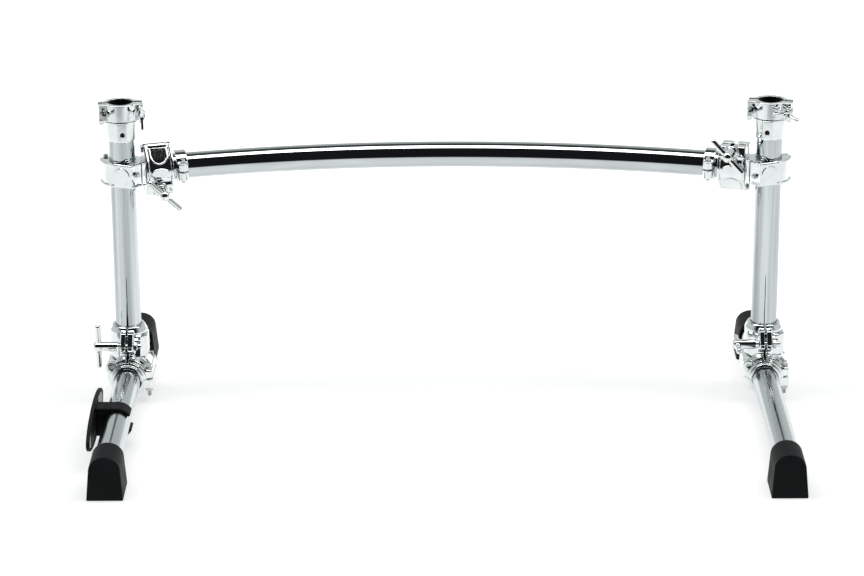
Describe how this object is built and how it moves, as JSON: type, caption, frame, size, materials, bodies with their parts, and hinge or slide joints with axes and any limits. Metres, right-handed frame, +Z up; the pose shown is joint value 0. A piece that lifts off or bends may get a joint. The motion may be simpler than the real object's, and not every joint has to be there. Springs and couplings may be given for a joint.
{
  "type": "drum rack frame",
  "caption": "Low floor rack: upright tubes on straight footed legs, joined by a curved crossbar in hinged clamps, with a tube clamp on top of each post.",
  "frame": {"origin": "middle of the bounding box, on the floor under the rack", "axes": "+X along the crossbar from the left post to the right post, +Y to the back, the side that the crossbar bows towards, +Z up"},
  "size_m": [1.0353, 0.61, 0.4634],
  "materials": {
    "tube_chrome": "mirror-polished chrome plate on steel tube",
    "cast_chrome": "polished chrome plate on die castings, slightly wavy",
    "bolt_steel": "bright plated steel, finely scratched",
    "rubber": "moulded matt black rubber",
    "black_plastic": "satin black injection-moulded plastic"
  },
  "bodies": {
    "crossbar": {"curved_bar": "tube_chrome", "left_clamp_body": "cast_chrome", "left_ring_pin": "bolt_steel", "left_bar_pin": "bolt_steel", "right_clamp_body": "cast_chrome", "right_ring_pin": "bolt_steel", "right_bar_pin": "bolt_steel"},
    "left_post": {"left_post_tube": "tube_chrome"},
    "left_base": {"left_base_casting": "cast_chrome", "left_base_hinge_pin": "bolt_steel", "left_base_key_bolt_front": "bolt_steel", "left_base_key_bolt_rear": "bolt_steel", "left_base_nut": "bolt_steel"},
    "left_keeper": {"left_base_keeper": "cast_chrome"},
    "left_keeper_nuts": {"left_base_nut_plate": "bolt_steel"},
    "left_base_t": {"left_base_t_bolt": "cast_chrome", "left_base_t_bar": "cast_chrome"},
    "left_leg": {"left_leg_tube": "tube_chrome", "left_foot_front": "rubber", "left_foot_rear": "rubber", "badge_clip": "black_plastic", "badge_plate": "black_plastic"},
    "left_top": {"left_top_casting": "cast_chrome", "left_top_key_screw": "bolt_steel"},
    "left_top_gate": {"left_top_gate": "cast_chrome", "left_top_key_bolt": "bolt_steel"},
    "left_wing": {"left_top_wing_screw": "cast_chrome"},
    "left_ring_gate": {"left_ring_gate": "cast_chrome", "left_ring_key_bolt": "bolt_steel"},
    "left_bar_gate": {"left_bar_gate": "cast_chrome"},
    "left_bar_t": {"left_bar_t_bolt": "cast_chrome", "left_bar_t_bar": "cast_chrome"},
    "left_memory": {"left_memory_collar": "cast_chrome", "left_memory_key_bolt": "bolt_steel"},
    "right_post": {"right_post_tube": "tube_chrome"},
    "right_base": {"right_base_casting": "cast_chrome", "right_base_hinge_pin": "bolt_steel", "right_base_key_bolt_front": "bolt_steel", "right_base_key_bolt_rear": "bolt_steel", "right_base_nut": "bolt_steel"},
    "right_keeper": {"right_base_keeper": "cast_chrome"},
    "right_keeper_nuts": {"right_base_nut_plate": "bolt_steel"},
    "right_base_t": {"right_base_t_bolt": "cast_chrome", "right_base_t_bar": "cast_chrome"},
    "right_leg": {"right_leg_tube": "tube_chrome", "right_foot_front": "rubber", "right_foot_rear": "rubber"},
    "right_top": {"right_top_casting": "cast_chrome", "right_top_key_screw": "bolt_steel"},
    "right_top_gate": {"right_top_gate": "cast_chrome", "right_top_key_bolt": "bolt_steel"},
    "right_wing": {"right_top_wing_screw": "cast_chrome"},
    "right_ring_gate": {"right_ring_gate": "cast_chrome", "right_ring_key_bolt": "bolt_steel"},
    "right_bar_gate": {"right_bar_gate": "cast_chrome"},
    "right_bar_t": {"right_bar_t_bolt": "cast_chrome", "right_bar_t_bar": "cast_chrome"},
    "right_memory": {"right_memory_collar": "cast_chrome", "right_memory_key_bolt": "bolt_steel"}
  },
  "joints": [
    {"name": "left_post_slide", "type": "slide", "parent": "crossbar", "child": "left_post", "axis": [0, 0, 1], "range_m": [-0.015, 0.13]},
    {"name": "left_base_swivel", "type": "hinge", "parent": "left_post", "child": "left_base", "pos_m": [-0.4675, 0.105, 0.09], "axis": [0, 0, 1], "range_deg": [-90, 90]},
    {"name": "left_leg_slide", "type": "slide", "parent": "left_base", "child": "left_leg", "axis": [0, 1, 0], "range_m": [-0.05, 0.05]},
    {"name": "left_keeper_swing", "type": "hinge", "parent": "left_base", "child": "left_keeper", "pos_m": [-0.4915, 0.105, 0.0555], "axis": [0, 1, 0], "range_deg": [0, 6.5]},
    {"name": "left_keeper_nut_slide", "type": "slide", "parent": "left_base", "child": "left_keeper_nuts", "axis": [0, 0, -1], "range_m": [0, 0.0075]},
    {"name": "left_base_t_spin", "type": "hinge", "parent": "left_base", "child": "left_base_t", "pos_m": [-0.4675, 0.067, 0.09], "axis": [1, 0, 0], "continuous": true},
    {"name": "left_top_swivel", "type": "hinge", "parent": "left_post", "child": "left_top", "pos_m": [-0.4675, 0.105, 0.416], "axis": [0, 0, 1], "range_deg": [-90, 90]},
    {"name": "left_top_gate_slide", "type": "slide", "parent": "left_top", "child": "left_top_gate", "axis": [0.1564, -0.9877, 0], "range_m": [0, 0.006]},
    {"name": "left_wing_spin", "type": "hinge", "parent": "left_top_gate", "child": "left_wing", "pos_m": [-0.43935, 0.10946, 0.443], "axis": [-0.1564, 0.9877, 0], "continuous": true},
    {"name": "left_ring_gate_hinge", "type": "hinge", "parent": "crossbar", "child": "left_ring_gate", "pos_m": [-0.493, 0.118, 0.351], "axis": [0, 0, -1], "range_deg": [0, 100]},
    {"name": "left_bar_gate_hinge", "type": "hinge", "parent": "crossbar", "child": "left_bar_gate", "pos_m": [-0.41926, 0.12168, 0.3815], "axis": [-0.9572, -0.2895, 0], "range_deg": [0, 75]},
    {"name": "left_bar_t_spin", "type": "hinge", "parent": "left_bar_gate", "child": "left_bar_t", "pos_m": [-0.40131, 0.06234, 0.323], "axis": [0.2895, -0.9572, 0], "continuous": true},
    {"name": "left_memory_slide", "type": "hinge", "parent": "crossbar", "child": "left_memory", "pos_m": [0.0065, -1.2851, 0.351], "axis": [0, 0, -1], "range_deg": [0, 10]},
    {"name": "right_post_slide", "type": "slide", "parent": "crossbar", "child": "right_post", "axis": [0, 0, 1], "range_m": [-0.015, 0.13]},
    {"name": "right_base_swivel", "type": "hinge", "parent": "right_post", "child": "right_base", "pos_m": [0.4805, 0.105, 0.09], "axis": [0, 0, 1], "range_deg": [-90, 90]},
    {"name": "right_leg_slide", "type": "slide", "parent": "right_base", "child": "right_leg", "axis": [0, 1, 0], "range_m": [-0.05, 0.05]},
    {"name": "right_keeper_swing", "type": "hinge", "parent": "right_base", "child": "right_keeper", "pos_m": [0.4565, 0.105, 0.0555], "axis": [0, 1, 0], "range_deg": [0, 6.5]},
    {"name": "right_keeper_nut_slide", "type": "slide", "parent": "right_base", "child": "right_keeper_nuts", "axis": [0, 0, -1], "range_m": [0, 0.0075]},
    {"name": "right_base_t_spin", "type": "hinge", "parent": "right_base", "child": "right_base_t", "pos_m": [0.4805, 0.067, 0.09], "axis": [1, 0, 0], "continuous": true},
    {"name": "right_top_swivel", "type": "hinge", "parent": "right_post", "child": "right_top", "pos_m": [0.4805, 0.105, 0.416], "axis": [0, 0, 1], "range_deg": [-90, 90]},
    {"name": "right_top_gate_slide", "type": "slide", "parent": "right_top", "child": "right_top_gate", "axis": [-0.2419, -0.9703, 0], "range_m": [0, 0.006]},
    {"name": "right_wing_spin", "type": "hinge", "parent": "right_top_gate", "child": "right_wing", "pos_m": [0.50815, 0.09811, 0.443], "axis": [0.2419, 0.9703, 0], "continuous": true},
    {"name": "right_ring_gate_hinge", "type": "hinge", "parent": "crossbar", "child": "right_ring_gate", "pos_m": [0.506, 0.118, 0.351], "axis": [0, 0, 1], "range_deg": [0, 100]},
    {"name": "right_bar_gate_hinge", "type": "hinge", "parent": "crossbar", "child": "right_bar_gate", "pos_m": [0.43226, 0.12168, 0.3205], "axis": [0.9572, -0.2895, 0], "range_deg": [0, 75]},
    {"name": "right_bar_t_spin", "type": "hinge", "parent": "right_bar_gate", "child": "right_bar_t", "pos_m": [0.41431, 0.06234, 0.379], "axis": [-0.2895, -0.9572, 0], "continuous": true},
    {"name": "right_memory_slide", "type": "hinge", "parent": "crossbar", "child": "right_memory", "pos_m": [0.0065, -1.2851, 0.351], "axis": [0, 0, 1], "range_deg": [0, 10]}
  ],
  "couplings": [
    {"joint": "right_post_slide", "follows": "left_post_slide", "ratio": 1},
    {"joint": "left_keeper_nut_slide", "follows": "left_keeper_swing", "m_per_rad": 0.0645},
    {"joint": "right_keeper_nut_slide", "follows": "right_keeper_swing", "m_per_rad": 0.0645}
  ]
}
